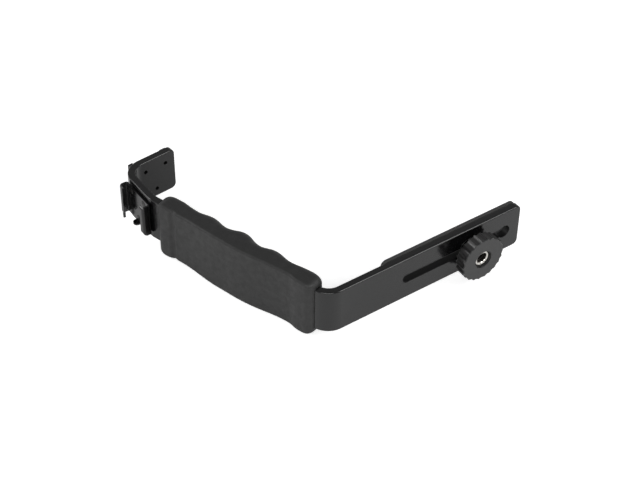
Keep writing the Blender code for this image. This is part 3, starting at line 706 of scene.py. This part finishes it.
side_place = TOP_CORNER - SHOE_RUN_HEADING * SHOE_FROM_CORNER
side_place.z = CORNER.z + BAR_WIDTH - SIDE_SHOE_MARGIN - SHOE_HALF
side_outward = Vector((-SHOE_RUN_HEADING.y, SHOE_RUN_HEADING.x, 0))
make_shoe("side_accessory_shoe", "side_shoe", side_place, -SHOE_RUN_HEADING, side_outward)
top_place = TOP_CORNER + TOP_ARM_HEADING * SHOE_FROM_CORNER
top_place.z = CORNER.z + BAR_WIDTH - TOP_SHOE_MARGIN - SHOE_HALF
top_outward = Vector((-TOP_ARM_HEADING.y, TOP_ARM_HEADING.x, 0))
make_shoe("top_accessory_shoe", "top_shoe", top_place, -TOP_ARM_HEADING, top_outward)

ease_edges(bent_bar, CUT_EDGE_ROUND)
dress(bent_bar, "bracket", "black_enamel", "bracket_bar")

# Slide washer: a stamped ring of zinc-plated steel between the knob's hub and the arm
KNOB_FROM_ARM_END = 0.0311
NECK_DIAMETER = 0.0046
WASHER_DIAMETER = 0.0120
WASHER_THICKNESS = 0.0007
WASHER_GAP = 0.0003
WASHER_EDGE_ROUND = 0.00015
PLATE_CLOUDS_PER_METRE = 700.0
RING_WIDTH_AT_SCALE_ONE = 0.31
TURNED_STEPS = 72
WASHER_TOP = WASHER_GAP + WASHER_THICKNESS
NECK_RADIUS = NECK_DIAMETER / 2
screw_place = ARM_END + Vector((-KNOB_FROM_ARM_END, 0, BAR_WIDTH / 2))
screw_axes = axes_at(screw_place, Vector((1, 0, 0)), UP, Vector((0, -1, 0)))


def plated_metal(name, dark, bright, low_roughness, high_roughness, ring_width):
    """Return plated metal with fine rings round the screw's axis, left by turning or stamping."""
    material, tree, coordinates = start_finish(name, [("Metallic", 1.0)])
    centred = add_node(tree, "Mapping", [("Vector", coordinates), ("Location", -screw_place)])
    rings = add_node(
        tree, "TexWave", [("Vector", centred.outputs["Vector"]),
                          ("Scale", RING_WIDTH_AT_SCALE_ONE / ring_width),
                          ("Distortion", 1.5), ("Detail", 2.0)],
        wave_type="RINGS", rings_direction="Y")
    cloud = noise(tree, coordinates, PLATE_CLOUDS_PER_METRE, detail=4.0)
    finish_with(
        tree, blend(tree, cloud, dark, bright), spread(tree, cloud, low_roughness, high_roughness),
        relief(tree, rings.outputs["Fac"], strength=0.12, depth=0.00002))
    return material


# Zinc plate, tumbled: pale grey with a soft, slightly uneven shine
zinc = plated_metal(
    "zinc_plated_steel", dark="9a9a98", bright="bdbdba",
    low_roughness=0.28, high_roughness=0.42, ring_width=0.00035)
washer_profile = (
    (NECK_RADIUS + WASHER_GAP, WASHER_GAP), (WASHER_DIAMETER / 2, WASHER_GAP),
    (WASHER_DIAMETER / 2, WASHER_TOP), (NECK_RADIUS + WASHER_GAP, WASHER_TOP),
    (NECK_RADIUS + WASHER_GAP, WASHER_GAP))
zinc_washer = make_piece("zinc_washer", turned(washer_profile, TURNED_STEPS), zinc, screw_axes)
ease_edges(zinc_washer, WASHER_EDGE_ROUND)
dress(zinc_washer, "slide_washer", "washer_steel", "slide_washer")

# Camera screw: turned steel, bright nickel plated, with a quarter-inch thread on its stud and
# the same thread tapped in its head, so that a tripod can be screwed in from below.
KNOB_THICKNESS = 0.0066
HUB_LENGTH = 0.0024
RECESS_DEPTH = 0.0011
HEAD_DIAMETER = 0.0088
HEAD_CHAMFER = 0.0004
THREAD_DEPTH = 0.00055
THREAD_PITCH = 0.00127
TAPPED_DEPTH = 0.0065
NECK_PLAY = 0.0020
STUD_PROTRUSION = 0.0050
STUD_CHAMFER = 0.0006
SCREW_EDGE_ROUND = 0.00012
THREAD_STEPS = 40
HUB_BASE = WASHER_TOP + WASHER_GAP
KNOB_BASE = HUB_BASE + HUB_LENGTH
KNOB_FACE = KNOB_BASE + KNOB_THICKNESS
HEAD_FACE = KNOB_FACE - RECESS_DEPTH
HEAD_RADIUS = HEAD_DIAMETER / 2
CREST = THREAD_DIAMETER / 2
ROOT = CREST - THREAD_DEPTH
# The thread's tooth, as pairs of a radius and a share of the pitch
THREAD_TOOTH = ((ROOT, 0.0), (ROOT, 0.22), (CREST, 0.50), (CREST, 0.72), (ROOT, 1.0))


def threaded_rod(low, high):
    """Return a closed bmesh of a rod with a right-hand thread, cut square at both ends."""
    solid = bmesh.new()
    start = low - THREAD_PITCH
    points = [
        solid.verts.new((radius, 0, start + share * THREAD_PITCH)) for radius, share in THREAD_TOOTH]
    edges = [solid.edges.new(pair) for pair in zip(points, points[1:])]
    turns = math.ceil((high - low) / THREAD_PITCH) + 2
    bmesh.ops.spin(
        solid, geom=points + edges, cent=(0, 0, 0), axis=(0, 0, 1), angle=math.tau * turns,
        steps=THREAD_STEPS * turns, dvec=(0, 0, THREAD_PITCH / THREAD_STEPS))
    bmesh.ops.remove_doubles(solid, verts=solid.verts[:], dist=WELD_DISTANCE)
    for level, side in ((low, -1), (high, 1)):
        everything = solid.verts[:] + solid.edges[:] + solid.faces[:]
        bmesh.ops.bisect_plane(
            solid, geom=everything, plane_co=(0, 0, level), plane_no=(0, 0, side), clear_outer=True)
    rims = [edge for edge in solid.edges if edge.is_boundary]
    bmesh.ops.holes_fill(solid, edges=rims, sides=0)
    bmesh.ops.recalc_face_normals(solid, faces=solid.faces[:])
    return solid


# Tapped steel inside the head's thread, coloured dark with a dull shine as painted shade for the deep
# hole
tapped_thread_painted_shade = plated_metal(
    "tapped_thread_darkened_as_painted_shade", dark="1c1b1a", bright="343230",
    low_roughness=0.35, high_roughness=0.55, ring_width=0.00025)

# Bright nickel plate over turned steel: warm white metal, near mirror, with faint tool rings
nickel = plated_metal(
    "bright_nickel_plated_steel", dark="cfccc6", bright="e9e6e0",
    low_roughness=0.10, high_roughness=0.22, ring_width=0.00025)
NECK_END = -(BAR_THICKNESS + NECK_PLAY + WASHER_GAP)
STUD_END = -(PAD_FACE + STUD_PROTRUSION)
screw_profile = (
    (0, NECK_END - STUD_CHAMFER), (NECK_RADIUS, NECK_END - STUD_CHAMFER), (NECK_RADIUS, HUB_BASE),
    (HEAD_RADIUS, HUB_BASE), (HEAD_RADIUS, HEAD_FACE - HEAD_CHAMFER),
    (HEAD_RADIUS - HEAD_CHAMFER, HEAD_FACE), (0, HEAD_FACE))
nickel_screw = make_piece("nickel_screw", turned(screw_profile, TURNED_STEPS), nickel, screw_axes)
stud = threaded_rod(STUD_END, NECK_END)
for vert in stud.verts:
    reach = vert.co.xy.length
    room = ROOT + vert.co.z - STUD_END
    if reach > room:
        vert.co.xy *= room / reach
carve(nickel_screw, stud, screw_axes, "UNION")
tap = threaded_rod(HEAD_FACE - TAPPED_DEPTH, HEAD_FACE + THREAD_PITCH)
# The tapped hole's walls take the dark steel: painted shade for the deep hole.
carve(nickel_screw, tap, screw_axes, finish=tapped_thread_painted_shade)
mouth_profile = (
    (0, HEAD_FACE - 2 * THREAD_DEPTH), (ROOT - THREAD_DEPTH, HEAD_FACE - 2 * THREAD_DEPTH),
    (CREST + THREAD_DEPTH, HEAD_FACE + THREAD_DEPTH), (0, HEAD_FACE + THREAD_DEPTH))
carve(nickel_screw, turned(mouth_profile, TURNED_STEPS), screw_axes)
ease_edges(nickel_screw, SCREW_EDGE_ROUND)
dress(nickel_screw, "thumb_screw", "plated_steel", "camera_screw")

# Thumb knob: black plastic moulded round the screw's head, with 22 shallow finger flutes that
# are deeper at the back, a hub behind, and a recess round the metal in its face.
KNOB_DIAMETER = 0.0245
KNOB_FACE_DIAMETER = 0.0249
KNOB_FLUTE_DEPTH = 0.0009
KNOB_FACE_FLUTE_DEPTH = 0.0006
KNOB_EDGE_ROUND = 0.0005
KNOB_EDGE_STEPS = 4
KNOB_FINE_ROUND = 0.00015
KNOB_FLUTES = 22
FLUTE_STEPS = 12
HUB_DIAMETER = 0.0130
RECESS_DIAMETER = 0.0098
HUB_OVERLAP = 0.0002
MOULD_SEAM = 0.0001
KNOB_SPARK = 0.0007
KNOB_CLOUDS_PER_METRE = 220.0


def flute_ring(diameter, depth, height):
    """Return one ring round the knob: shallow hollows with a ridge between each pair."""
    points = []
    for step in range(KNOB_FLUTES * FLUTE_STEPS):
        turn = math.tau * step / (KNOB_FLUTES * FLUTE_STEPS)
        radius = diameter / 2 - depth * abs(math.sin(KNOB_FLUTES * turn / 2))
        points.append((radius * math.cos(turn), radius * math.sin(turn), height))
    return points


# Black moulded plastic with a fine spark-eroded texture: a dull grey sheen whose roughness changes in
# small spots with the texture
knob_plastic, tree, coordinates = start_finish(
    "spark_textured_black_plastic", [("Specular IOR Level", 0.66)])
spark = noise(tree, coordinates, 1 / KNOB_SPARK, detail=3.0)
cloud = noise(tree, coordinates, KNOB_CLOUDS_PER_METRE, detail=3.0)
finish_with(
    tree, blend(tree, cloud, "141414", "1f1f1f"), spread(tree, spark, low=0.25, high=0.40),
    relief(tree, spark, strength=0.3, depth=0.00008))

knob_solid = skinned([
    flute_ring(KNOB_DIAMETER, KNOB_FLUTE_DEPTH, KNOB_BASE),
    flute_ring(KNOB_FACE_DIAMETER, KNOB_FACE_FLUTE_DEPTH, KNOB_FACE)])
rims = [edge for edge in knob_solid.edges if abs(edge.verts[0].co.z - edge.verts[1].co.z) < WELD_DISTANCE]
round_edges(knob_solid, rims, KNOB_EDGE_ROUND, KNOB_EDGE_STEPS)
fluted_knob = make_piece("fluted_knob", knob_solid, knob_plastic, screw_axes)
hub_profile = (
    (0, HUB_BASE), (HUB_DIAMETER / 2, HUB_BASE), (HUB_DIAMETER / 2, KNOB_BASE + HUB_OVERLAP),
    (0, KNOB_BASE + HUB_OVERLAP))
carve(fluted_knob, turned(hub_profile, TURNED_STEPS), screw_axes, "UNION")
bore = HEAD_RADIUS + MOULD_SEAM
bore_profile = (
    (0, HUB_BASE - OVERRUN), (bore, HUB_BASE - OVERRUN), (bore, HEAD_FACE),
    (RECESS_DIAMETER / 2, HEAD_FACE), (RECESS_DIAMETER / 2, KNOB_FACE + OVERRUN),
    (0, KNOB_FACE + OVERRUN))
carve(fluted_knob, turned(bore_profile, TURNED_STEPS), screw_axes)
ease_edges(fluted_knob, KNOB_FINE_ROUND)
dress(fluted_knob, "thumb_screw", "knob_plastic", "thumb_knob")
